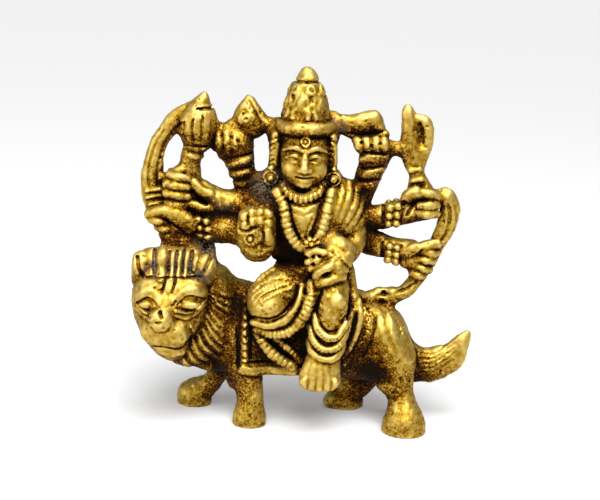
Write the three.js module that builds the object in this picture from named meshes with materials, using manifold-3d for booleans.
// A small cast figure: an eight-armed goddess seated on a walking lion, poured as one piece.
// Millimetres. +Z is up, the goddess faces -Y, the lion's head is towards -X and its tail towards +X.
// Places are read in a sculptor's frame whose X = 0, Y = 0 is the axis of the goddess's crown and
// whose Z = 0 is the ground. They are shares of the figure's height, written for 72 mm.
import * as THREE from "three";
import { mergeVertices } from "three/addons/utils/BufferGeometryUtils.js";
import Module from "manifold-3d";

// Driving dimensions
const FIGURE_HEIGHT = 72;
const BODY_HALF_DEPTH = 6.2;
const PAW_RADIUS = 3.5;
const ANKLE_RADIUS = 2.4;
const LOCK_DEPTH = 0.11;
const ARM_RADIUS = 2.1;
const BRACELET_SWELL = 1.35;
const FINGER_RADIUS = 0.9;
const KNUCKLE_DIP = 0.8;
const SHAFT_RADIUS = 1.7;
const ATTRIBUTE_THICKNESS = 2.8;
const CORD_RADIUS = 0.85;
const BRIDGE_RADIUS = 1.6;

const WRITTEN_FOR_HEIGHT = 72;
const share = FIGURE_HEIGHT / WRITTEN_FOR_HEIGHT;
const at = (x, y, z) => new THREE.Vector3(x * share, y * share, z * share);
const brass = new THREE.MeshStandardMaterial({ color: 0xb08a2e, roughness: 0.42, metalness: 1 });

const wasm = await Module();
wasm.setup();

// A closed geometry, with its repeated vertices merged, as a solid that can be joined or cut.
function solid(geometry) {
  const bare = geometry.clone();
  bare.deleteAttribute("normal");
  bare.deleteAttribute("uv");
  const merged = mergeVertices(bare, 1e-4);
  return new wasm.Manifold(
    new wasm.Mesh({
      numProp: 3,
      vertProperties: merged.attributes.position.array,
      triVerts: new Uint32Array(merged.index.array),
    }),
  );
}

// The value at t, from 0 to 1, on a smooth curve through a list of values.
function along(values, t) {
  const place = t * (values.length - 1);
  const i = Math.min(Math.floor(place), values.length - 2);
  const f = place - i;
  const g = 1 - f;
  const slopeA = (values[i + 1] - values[Math.max(i - 1, 0)]) / 2;
  const slopeB = (values[Math.min(i + 2, values.length - 1)] - values[i]) / 2;
  return (
    values[i] * (1 + 2 * f) * g * g + slopeA * f * g * g + values[i + 1] * f * f * (3 - 2 * f) - slopeB * f * f * g
  );
}

// A rod through stations [x, y, z, half width, half depth, flute], oval in section. The half width
// lies in the plane of the figure and the half depth runs front to back, or up where the rod itself
// runs front to back. The flute is the share by which every other edge stands in. A rod has as many
// rings as asked, by default one for each station. An end can be rounded off past its last station,
// and a band is a swelling [t, size, half length] at t from 0 to 1 along the rod.
function rod(stations, { sides = 6, rings = stations.length, rounded = false, bands = [] } = {}) {
  const path = new THREE.CatmullRomCurve3(stations.map(([x, y, z]) => at(x, y, z)));
  const widths = stations.map((s) => s[3] * share);
  const depths = stations.map((s) => (s[4] ?? s[3]) * share);
  const flutes = stations.map((s) => s[5] ?? 0);
  const places = Array.from({ length: rings }, (_, i) => ({ t: i / (rings - 1), past: 0, size: 1 }));
  for (const [t, size, half] of bands) {
    places.push({ t: t - half, past: 0, size: 1 }, { t, past: 0, size }, { t: t + half, past: 0, size: 1 });
  }
  places.sort((one, other) => one.t - other.t);
  if (rounded) {
    places.unshift({ t: 0, past: -0.7, size: 0.6 });
    places.push({ t: 1, past: 0.7, size: 0.6 });
  }
  const geometry = new THREE.CylinderGeometry(1, 1, 1, sides, places.length - 1);
  const position = geometry.attributes.position;
  const local = new THREE.Vector3();
  for (let i = 0; i < position.count; i++) {
    local.fromBufferAttribute(position, i);
    const place = places[Math.round((0.5 + local.y) * (places.length - 1))];
    const edge = Math.round((Math.atan2(local.x, local.z) / (2 * Math.PI)) * sides);
    const size = edge % 2 ? place.size * (1 - along(flutes, place.t)) : place.size;
    const width = Math.max(along(widths, place.t), 0.2);
    const depth = Math.max(along(depths, place.t), 0.2);
    const forward = path.getTangent(place.t);
    const level = Math.abs(forward.y) > 0.85 ? new THREE.Vector3(0, 0, 1) : new THREE.Vector3(0, 1, 0);
    const deep = level.addScaledVector(forward, -level.dot(forward)).normalize();
    const wide = new THREE.Vector3().crossVectors(forward, deep);
    const point = path
      .getPoint(place.t)
      .addScaledVector(forward, place.past * Math.min(width, depth))
      .addScaledVector(wide, local.x * width * size)
      .addScaledVector(deep, local.z * depth * size);
    position.setXYZ(i, point.x, point.y, point.z);
  }
  return solid(geometry);
}

// An egg-shaped lump with half sizes along X, Y and Z, turned about Y by tilt.
function lump([x, y, z], [a, b, c], { detail = 1, tilt = 0 } = {}) {
  const geometry = new THREE.IcosahedronGeometry(1, detail);
  geometry.scale(a * share, b * share, c * share);
  geometry.rotateY(THREE.MathUtils.degToRad(tilt));
  const centre = at(x, y, z);
  geometry.translate(centre.x, centre.y, centre.z);
  return solid(geometry);
}

// A turned form. The profile is [radius, place along the axis] in order along it, with a third
// number where the surface is fluted: the share by which every other edge stands in.
function lathe(profile, sides) {
  const outline = profile.map(([r, z]) => new THREE.Vector2(r * share, z * share));
  const geometry = new THREE.LatheGeometry(outline, sides);
  const position = geometry.attributes.position;
  for (let i = 0; i < position.count; i++) {
    const edge = Math.floor(i / profile.length);
    const size = edge % 2 ? 1 - (profile[i % profile.length][2] ?? 0) : 1;
    position.setXYZ(i, position.getX(i) * size, position.getY(i), position.getZ(i) * size);
  }
  return geometry;
}

// Turned about the vertical through (x, y), leaning to +X by some degrees, or squashed in depth.
function turned([x, y], profile, { sides = 12, lean = 0, squash = 1 } = {}) {
  const foot = at(x, y, profile[0][1]);
  const geometry = lathe(profile, sides);
  geometry.rotateX(Math.PI / 2);
  geometry.scale(1, squash, 1);
  geometry.translate(0, 0, -foot.z);
  geometry.rotateY(THREE.MathUtils.degToRad(lean));
  geometry.translate(foot.x, foot.y, foot.z);
  return solid(geometry);
}

// Turned about a line from front to back through (x, z), such as a ruff of hair round a face.
function ruff([x, z], profile, { sides = 12, squash = 1 } = {}) {
  const geometry = lathe(profile, sides);
  const centre = at(x, 0, z);
  geometry.scale(1, 1, squash);
  geometry.translate(centre.x, 0, centre.z);
  return solid(geometry);
}

// A thin roll, such as a hem or a string of beads, through points.
function cord(points, radius = CORD_RADIUS, rings = points.length) {
  return rod(
    points.map((p) => [...p, radius]),
    { sides: 4, rings },
  );
}

const acrossX = (points) => points.map(([x, ...rest]) => [-x, ...rest]);
const acrossY = (points) => points.map(([x, y, ...rest]) => [x, -y, ...rest]);

// The lion

function lionBody() {
  const d = BODY_HALF_DEPTH;
  const haunch = [
    [16.4, -2.4, 19.4, 5.0, 3.8],
    [19.6, -3.2, 14.6, 4.6, 3.6],
    [20, -3.8, 9.6, 3.0, 2.8],
  ];
  const ridge = [
    [14.4, -5.2, 23.6],
    [18.6, -5.4, 19.8],
    [21.6, -4.8, 15.2],
  ];
  return [
    rod(
      [
        [-17, 0, 20.0, 10.8, d],
        [-9, 0, 18.9, 9.4, d],
        [1, 0, 18.4, 8.9, d],
        [10, 0, 17.8, 8.6, d],
        [16.6, 0, 16.8, 8.3, d],
      ],
      { sides: 10, rounded: true },
    ),
    rod(haunch),
    rod(acrossY(haunch)),
    cord(ridge),
    cord(acrossY(ridge)),
  ];
}

// A leg from the body down to the ankle, ending in a paw that flares out on the ground.
function leg(top, ankle, paw, reach) {
  const r = PAW_RADIUS * reach;
  const a = ANKLE_RADIUS;
  return rod(
    [
      [...top, a * 1.7, a * 1.2],
      [...ankle, a, a],
      [...paw, 1.6, r * 0.95, r * 0.86],
      [...paw, -0.6, r * 0.97, r * 0.88],
    ],
    { sides: 8 },
  );
}

function lionLegs() {
  return [
    leg([-10.4, -2.4, 13.6], [-9.5, -4.6, 6.2], [-9.3, -5.0], 0.97),
    leg([-12.4, 2.4, 13.6], [-17.2, 5.4, 6.8], [-21.5, 6.4], 1.08),
    leg([19.2, -2.6, 14.4], [20.8, -4.6, 7.4], [22.0, -5.7], 1.3),
    leg([15.6, 2.4, 14], [13.0, 6.0, 7.0], [10.2, 8.0], 1.06),
  ];
}

// The tail ends in a grooved tuft like a flame, with a collar at its root.
function lionTail() {
  return [
    rod(
      [
        [20.5, 0.8, 13.0, 4.4, 3.0],
        [24.9, 1, 12.5, 3.3, 2.4],
        [29.4, 1, 12.9, 3.7, 2.3, 0.1],
        [32.6, 1, 15.8, 2.5, 1.7, 0.1],
        [34.4, 1, 20.2, 0.2, 0.2],
      ],
      { sides: 8, rings: 6, bands: [[0.24, 1.16, 0.05]] },
    ),
  ];
}

function lionHead() {
  const parts = [
    lump([-25.7, -6.4, 24.6], [7.8, 6.6, 7.5], { detail: 2 }),
    rod([
      [-26.0, -11.3, 30.0, 1.5, 1.6],
      [-26.5, -13.2, 26.6, 1.7, 1.9],
      [-26.9, -14.4, 23.6, 2.1, 2.0],
    ]),
    // The muzzle and the chin.
    rod(
      [
        [-26.2, -10, 21.0, 4.8, 3.2],
        [-26.4, -13.6, 21.0, 4.2, 2.7],
        [-26.6, -15.8, 21.4, 2.2, 1.5],
      ],
      { sides: 8 },
    ),
    rod([
      [-25.8, -9.0, 18.2, 3.8, 2.6],
      [-25.8, -13.4, 18.2, 2.4, 1.4],
    ]),
  ];
  // An eye is a long drop under a heavy brow, wider on the side that the head turns to show.
  for (const [x, y, width] of [
    [-30.4, -10.4, 2.1],
    [-21.6, -11.6, 2.9],
  ]) {
    parts.push(lump([x, y, 26.4], [width, 1.6, 1.5], { detail: 0 }));
    parts.push(cord([[x - width, y + 0.4, 26.8], [x, y - 1.1, 28.6], [x + width, y + 0.6, 27.2]], 0.9));
  }
  return parts;
}

function lionEars() {
  return [
    [-30.6, -31.6, 35.6],
    [-20.0, -18.9, 35.3],
  ].map(([root, tip, top]) =>
    rod([
      [root, -6.0, 29, 2.5, 2.0],
      [(root + tip) / 2, -6.8, 32.4, 2.5, 1.7],
      [tip, -6.4, top, 1.4, 1.1],
    ]),
  );
}

// The mane stands in locks all round the face, and a fringe of locks stands between the ears. The
// grooves between the locks are a share of the mane's radius.
function lionMane() {
  const deep = LOCK_DEPTH;
  const shallow = LOCK_DEPTH / 2;
  return [
    ruff(
      [-22.6, 22.8],
      [
        [0, -8.4],
        [6.4, -8.0, shallow],
        [9.4, -5.4, deep],
        [10.8, -1.4, deep],
        [10.2, 3.4, deep],
        [7.4, 6.0, shallow],
        [0, 6.6],
      ],
      { sides: 18, squash: 1.09 },
    ),
    // The locks that hang under the jaw.
    lump([-22.2, -5.6, 16.0], [4.6, 3.2, 4.0]),
    ruff(
      [-24.9, 30.3],
      [
        [0, -11.2],
        [4.4, -10.8, deep],
        [5.8, -8.0, deep],
        [5.2, -2.4, deep],
        [0, 0],
      ],
      { sides: 16 },
    ),
  ];
}

// The raised borders of the cloth over the lion's back.
function saddleCloth() {
  const y = -BODY_HALF_DEPTH;
  const borders = [
    [[-11.6, y * 0.84, 25.0], [-11.8, y * 1.04, 19.4], [-11.4, y * 0.86, 13.2]],
    [[-11.4, y * 0.82, 12.8], [-4.4, y * 0.84, 12.4], [3.4, y * 0.8, 11.8]],
    [[12.2, y * 0.82, 23.4], [13.0, y * 1.04, 18.6], [11.4, y * 0.94, 13.6], [7.8, y * 0.8, 11.6]],
  ];
  return borders.flatMap((line) => [cord(line), cord(acrossY(line))]);
}

// The goddess

function torso() {
  return [
    rod(
      [
        [1.4, -0.4, 28.8, 9.0, 5.6],
        [0.8, -0.2, 33.2, 6.0, 4.6],
        [0.2, -0.6, 38.6, 6.6, 5.0],
        [0, -0.5, 43.2, 8.4, 5.4],
        [0, 0.4, 46.8, 6.2, 3.4],
      ],
      { sides: 10 },
    ),
    rod([
      [-0.2, 0, 45, 3.2, 3.0],
      [-0.3, -0.3, 50, 2.7, 2.7],
    ]),
    // The shoulders, where all eight arms start.
    rod([[-12.4, 1.4, 44.6, 2.8], [-5.4, 0.6, 46.6, 2.6], [5.4, 0.6, 46.0, 2.4], [11, 1.4, 44.6, 2.8]]),
    // The belt above the hips.
    cord([[-5.0, -3.4, 32.4], [-1, -4.9, 31.4], [3.0, -4.8, 31.4]]),
  ];
}

// The garland hangs from both shoulders to a flower below the breast, under a choker.
function garland() {
  const left = [[-4.4, -3.0, 46.6], [-4.2, -5.4, 42.8], [-2.8, -6.0, 39.6], [0, -6.0, 37.8]];
  return [
    cord(left),
    cord(acrossX(left)),
    lump([-0.2, -6.4, 38.2], [1.7, 1.0, 1.7], { detail: 0 }),
    cord([[-3.8, -1.8, 47.6], [-0.2, -4.0, 46.6], [3.6, -1.8, 47.6]]),
  ];
}

// The shawl over one shoulder: pleats that run down from the shoulder across the breast.
function shawl() {
  const pleats = 3;
  return Array.from({ length: pleats }, (_, i) => {
    const f = i / (pleats - 1);
    return cord(
      [
        [4.8 + f * 4.0, -2.0 + f * 1.4, 47.2 - f * 1.4],
        [5.2 + f * 3.8, -4.6 + f * 1.6, 43.4 - f * 1.2],
        [2.8 + f * 4.4, -5.0 + f * 0.8, 38.6 + f * 0.6],
      ],
      1.15,
    );
  });
}

function head() {
  const parts = [
    lump([-0.4, -0.8, 54.6], [5.4, 5.2, 6.0], { detail: 2 }),
    lump([-0.4, -3.2, 51.4], [3.7, 2.6, 2.9], { detail: 0 }),
    cord([[-0.4, -5.4, 56.2], [-0.4, -6.4, 53.2]], 0.9),
    cord([[-2.2, -4.6, 51.3], [-0.4, -5.6, 51.0], [1.4, -4.6, 51.3]], 0.6),
    lump([-0.4, -5.6, 57.6], [0.9, 0.9, 0.9], { detail: 0 }),
    // The hair beside the face and the tresses that fall on the back.
    rod(
      [
        [-0.6, 1.4, 59.6, 6.9, 4.2],
        [-0.6, 1.8, 53, 7.0, 3.4, 0.06],
        [-0.5, 2.2, 48, 7.2, 3.4, 0.1],
        [0, 4.0, 40.5, 3.6, 1.8, 0.1],
      ],
      { sides: 12 },
    ),
  ];
  for (const side of [-1, 1]) {
    const x = -0.4 + side * 2.3;
    parts.push(lump([x, -4.7, 54.6], [1.6, 0.9, 0.9], { detail: 0 }));
    parts.push(cord([[x - side * 1.5, -4.9, 56.2], [x, -4.8, 57.0], [x + side * 2.0, -3.6, 56.2]], 0.5));
    // A round earring on each side.
    parts.push(rod([[-0.7 + side * 6.4, -2.8, 50.2, 2.1], [-0.7 + side * 6.0, 0.8, 50.2, 2.1]], { sides: 8 }));
  }
  return parts;
}

// A tall crown of a rolled band, a cone with leaves round its foot and a bud on top.
function crown() {
  return [
    turned(
      [-0.65, 0.2],
      [
        [0, 58.4],
        [5.5, 58.8],
        [6.1, 60.4],
        [5.7, 61.9],
        [4.8, 62.4],
        [4.7, 63.4, 0.06],
        [3.8, 66.0, 0.1],
        [2.1, 69.2],
        [2.0, 70.3],
        [1.4, 71.4],
        [0, WRITTEN_FOR_HEIGHT],
      ],
      { sides: 12 },
    ),
  ];
}

// One leg is folded on the lion's back under cloth that falls in hems and strips.
function foldedLeg() {
  return [
    rod(
      [
        [2.6, -2.6, 29.4, 5.0, 4.2],
        [-3.2, -5.6, 28.4, 5.2, 4.2],
        [-7.0, -7.0, 26.8, 4.0, 3.6],
      ],
      { sides: 8, rounded: true },
    ),
    cord([[-9.2, -7.0, 23.6], [-5.6, -9.2, 21.9], [-1.4, -9.0, 23.8]]),
    cord([[0.6, -6.6, 30.8], [1.2, -8.6, 27.0], [0.2, -8.4, 22.6]]),
    cord([[-8.4, -6.0, 21.0], [-4.4, -7.4, 16.8], [-0.2, -7.2, 13.4]], CORD_RADIUS * 1.1),
    cord([[-5.2, -6.6, 20.8], [-1.8, -7.4, 17.0], [1.6, -7.2, 14.2]]),
    rod([
      [-4.5, -5.2, 22.4, 3.6, 2.4],
      [0.8, -5.6, 15.6, 2.8, 1.4],
    ]),
  ];
}

// The other leg hangs down the lion's flank, with hems round the shin and toes that spread.
function hangingLeg() {
  const hem = (t) => [t, 1.2, 0.04];
  return [
    rod(
      [
        [4.6, -2.0, 29.6, 4.4, 4.4],
        [6.2, -8.0, 29.2, 3.9, 3.9],
        [5.9, -9.2, 23.5, 3.2, 3.1],
        [5.7, -8.9, 16.6, 2.9, 2.8],
      ],
      { sides: 8, rings: 5, bands: [hem(0.67), hem(0.78), hem(0.89)] },
    ),
    rod(
      [
        [5.6, -8.8, 17.8, 2.8, 2.2],
        [4.9, -10.2, 14.4, 3.8, 2.2],
        [4.5, -11.3, 9.8, 4.4, 1.7, 0.2],
      ],
      { sides: 12 },
    ),
    // A leaf of cloth beside the leg.
    rod([
      [10.8, 1.0 - BODY_HALF_DEPTH, 27.6, 1.0, 1.4],
      [10.8, -0.4 - BODY_HALF_DEPTH, 21.8, 1.7, 1.3],
      [8.8, -0.4 - BODY_HALF_DEPTH, 16.2, 0.6, 0.9],
    ]),
  ];
}

// Arms, hands and what they hold

// A sleeve or forearm through stations [x, y, z, share of the arm's radius], with a bracelet where
// the share of its length says.
function arm(stations, bracelet) {
  return rod(
    stations.map(([x, y, z, r = 1]) => [x, y, z, ARM_RADIUS * r]),
    { bands: [[bracelet, BRACELET_SWELL, 0.06]] },
  );
}

// A closed hand round a shaft, from its low end to its high end: fingers that lie one over the next.
function fist(low, high, radius, fingers) {
  const stations = Array.from({ length: 2 * fingers + 1 }, (_, i) => {
    const t = i / (2 * fingers);
    const place = low.map((v, k) => v + (high[k] - v) * t);
    const r = radius * (i % 2 ? 1 : KNUCKLE_DIP);
    return [...place, r, r * 0.84];
  });
  return rod(stations);
}

function maceArm() {
  return [
    arm([[-8, 1, 43.4, 1.5], [-13.4, 1, 43.5, 1.4], [-17.6, 0.9, 44.8, 1.2], [-22.6, 0.9, 47.0, 1.4]], 0.56),
    fist([-25.1, 0.6, 43.0], [-24.3, 0.6, 50.8], 3.8, 4),
    rod([[-23.4, 0.9, 46, SHAFT_RADIUS * 1.3], [-22.3, 1, 55.4, SHAFT_RADIUS]]),
    turned(
      [-22.3, 1],
      [
        [0, 54.2],
        [2.5, 54.8],
        [2.3, 55.8],
        [3.2, 56.4, 0.06],
        [4.0, 59.0, 0.12],
        [3.4, 61.8, 0.1],
        [2.0, 63.5],
        [0, 66.2],
      ],
      { sides: 12, lean: 9.5 },
    ),
  ];
}

function swordArm() {
  const d = ATTRIBUTE_THICKNESS / 2;
  return [
    arm([[-8, 1, 40.6, 1.6], [-13.6, 1, 39.8, 1.8], [-18, 1, 38.9, 1.4], [-23.6, 0.8, 39.2, 1.3]], 0.78),
    fist([-25.2, 0.6, 35.4], [-27.0, 0.6, 42.8], 3.6, 3),
    rod(
      [
        [-27.4, 0.8, 38.6, 2.2, d],
        [-29.9, 1, 43.0, 2.3, d],
        [-30.8, 1, 48.4, 2.2, d],
        [-30.3, 1, 53.6, 1.9, d],
        [-28.5, 1, 57.9, 1.8, d],
        [-25.2, 1, 61.6, 1.7, d],
        [-22.2, 1, 63.6, 0.9, d * 0.6],
      ],
      { rings: 7 },
    ),
    rod([[-32.4, 0.8, 45.5, 0.8, 1.7], [-28.2, 0.8, 46.1, 0.8, 1.7]], { sides: 4 }),
    rod([[-31.8, 0.8, 43.3, 0.8, 1.7], [-27.8, 0.8, 43.9, 0.8, 1.7]], { sides: 4 }),
  ];
}

function conchArm() {
  return [
    arm([[-11.0, 2, 42.6, 1.4], [-11.9, 2, 48.4, 1.1], [-13.4, 2, 54.0, 1.3], [-13.6, 2, 58, 1.4]], 0.42),
    fist([-15.4, 1.6, 53.6], [-15.6, 1.6, 59.2], 3.2, 3),
    turned(
      [-11.8, 2],
      [
        [0, 58.2],
        [3.3, 58.6],
        [3.9, 59.7],
        [2.9, 62.0],
        [1.5, 64.3],
        [0, 65.7],
      ],
      { sides: 9, squash: 0.75 },
    ),
  ];
}

// The open palm that is held up to the viewer: a broad hand that ends in four fingers.
function blessingArm() {
  const fingers = 4;
  return [
    rod([
      [-8, 0.6, 43.2, 4.0, 3.6],
      [-9.0, -2.4, 41.4, 3.4, 3.2],
      [-9.2, -5.8, 39.4, 2.8, 2.8],
    ]),
    rod(
      [
        [-9.1, -5.8, 35.3, 2.4, 1.6],
        [-9.2, -6.6, 38.0, 3.6, 1.6],
        [-9.2, -6.4, 42.6, 3.8, 1.2],
      ],
      { sides: 8 },
    ),
    rod([[-10.6, -8.6, 38.6, 1.6], [-10.6, -6.6, 38.6, 1.6]]),
    cord([[-6.8, -7.0, 36.6], [-6.4, -7.7, 39.0], [-6.6, -7.0, 41.0]], FINGER_RADIUS),
    ...Array.from({ length: fingers }, (_, i) => {
      const x = -11.8 + i * 1.75;
      return cord([[x, -6.9, 42.2], [x, -6.6, 45.2]], FINGER_RADIUS * 1.1);
    }),
  ];
}

function axeArm() {
  return [
    arm([[9.2, 1.4, 42.6, 1.5], [11.9, 2, 48.4, 1.1], [12.8, 2, 52.4, 1.25], [13.0, 2, 57, 1.6]], 0.5),
    fist([12.9, 1.6, 55.0], [12.9, 1.6, 59.8], 3.9, 3),
    rod([
      [4.6, 2, 61.0, 2.1, 1.7],
      [9.0, 2, 60.9, 2.1, 1.7],
      [12.0, 2, 61.6, 2.5, 2.0],
      [14.4, 2, 61.8, 1.9, 1.5],
    ]),
  ];
}

function tridentArm() {
  const d = ATTRIBUTE_THICKNESS / 2;
  return [
    arm([[7, 0.8, 42.2, 1.6], [12.6, 1, 42.3, 1.35], [17.4, 1, 43.4, 1.25], [21.6, 0.8, 44.8, 1.3]], 0.7),
    fist([23.2, 0.6, 42.4], [22.4, 0.6, 48.6], 3.5, 3),
    rod([[22.2, 0.8, 45.4, SHAFT_RADIUS], [21.5, 1, 56.4, SHAFT_RADIUS]], {
      bands: [
        [0.48, 1.4, 0.1],
        [0.7, 1.4, 0.1],
      ],
    }),
    rod([
      [21.6, 1, 54.8, 2.0, d],
      [20.2, 1, 58.2, 2.1, d],
      [20.0, 1, 61.4, 1.8, d],
      [19.2, 1, 65.2, 0.6, d * 0.6],
    ]),
    rod([
      [21.8, 1, 54.8, 1.9, d],
      [23.5, 1, 58.4, 1.3, d],
      [23.3, 1, 61.4, 1.4, d],
      [21.8, 1, 63.0, 1.0, d * 0.8],
    ]),
  ];
}

function bowArm() {
  const d = ATTRIBUTE_THICKNESS / 2;
  return [
    arm([[8, 0.8, 39.2, 1.5], [13.4, 1, 37.5, 1.25], [18, 1, 36.1, 1.2], [23, 0.8, 35.4, 1.2]], 0.7),
    fist([22.6, 0.6, 32.4], [25.0, 0.6, 38.0], 3.1, 3),
    rod(
      [
        [27.3, 1, 48.8, 1.2, d],
        [28.8, 1, 45.0, 2.3, d],
        [28.4, 1, 41.0, 2.1, d],
        [26.0, 1, 36.0, 1.8, d],
        [23.6, 1, 31.2, 1.7, d],
        [20.4, 1, 27.8, 1.6, d],
        [14.6, 0.6, 26.4, 1.7, d],
      ],
      { rings: 9 },
    ),
  ];
}

// The hand that rests on the knee of the hanging leg.
function restingArm() {
  const fingers = 4;
  return [
    arm([[9.4, 0, 43, 1.4], [10.8, -2.4, 38.8, 1.25], [8.2, -6.4, 36.0, 1.1], [4.6, -9.2, 34.2, 1.1]], 0.78),
    ...Array.from({ length: fingers }, (_, i) => {
      const x = i * 0.5;
      const y = -9.3 - FINGER_RADIUS;
      const z = i * -1.5;
      return cord([[4.8 + x, y, 35.8 + z], [1.8 + x, y, 34.2 + z]], FINGER_RADIUS);
    }),
  ];
}

// Short webs of metal that tie what the hands hold to their neighbours.
function bridges() {
  const webs = [
    [[-18.8, 1.2, 58.8], [-14.0, 1.6, 58.8]],
    [[-9.2, 1.6, 60.0], [-5.0, 1.0, 59.8]],
    [[14.0, 1.4, 57.0], [20.6, 1.2, 56.6]],
    [[-10.4, 0.8, 48.4], [-6.4, 0.8, 49.6]],
    [[10.2, 0.8, 48.6], [6.2, 0.8, 49.4]],
    [[-25.4, 0.8, 60.8], [-22.6, 0.8, 60.0]],
    [[10.6, 0.2, 30.4], [9.8, 0, 26.6]],
    [[-21.2, 0.6, 36.4], [-18.8, 0.4, 35.8]],
    [[-6.4, -0.8, 38.2], [-4.6, -0.8, 34.8]],
    [[24.6, 0.8, 48.0], [28.2, 0.9, 47.8]],
    [[-24.0, 1.0, 42.6], [-16.0, 1.0, 42.0]],
    [[14.6, 0.6, 26.6], [13.6, 0, 23.0]],
    [[18.2, 0.8, 27.0], [16.4, 0.2, 22.0]],
  ];
  return [
    ...webs.map((web) => cord(web, BRIDGE_RADIUS)),
    // The sword hand stands on the lion's fringe.
    rod([
      [-23.8, 0.4, 38.4, 4.4, 2.0],
      [-24.2, -2.6, 32.4, 5.6, 2.8],
    ]),
  ];
}

// Everything is one casting, with the soles filed flat on the ground.
function casting() {
  const subparts = [
    lionBody,
    lionLegs,
    lionTail,
    lionHead,
    lionEars,
    lionMane,
    saddleCloth,
    torso,
    garland,
    shawl,
    head,
    crown,
    foldedLeg,
    hangingLeg,
    maceArm,
    swordArm,
    conchArm,
    blessingArm,
    axeArm,
    tridentArm,
    bowArm,
    restingArm,
    bridges,
  ];
  const joined = subparts.flatMap((make) => make()).reduce((sum, next) => sum.add(next));
  const ground = new THREE.BoxGeometry(100 * share, 60 * share, 20 * share);
  ground.translate(0, 0, -10 * share);
  return joined.subtract(solid(ground));
}

// The origin is on the ground, under the middle of the figure's box.
function centred(body) {
  const { numProp, vertProperties, triVerts } = body.getMesh();
  const position = vertProperties.filter((_, i) => i % numProp < 3);
  const geometry = new THREE.BufferGeometry()
    .setAttribute("position", new THREE.BufferAttribute(position, 3))
    .setIndex(new THREE.BufferAttribute(triVerts, 1));
  geometry.computeBoundingBox();
  const middle = geometry.boundingBox.getCenter(new THREE.Vector3());
  return geometry.translate(-middle.x, -middle.y, 0);
}

const figure = new THREE.Mesh(centred(casting()), brass);
figure.name = "durga_on_lion";

const group = new THREE.Group();
group.add(figure);
export default group;
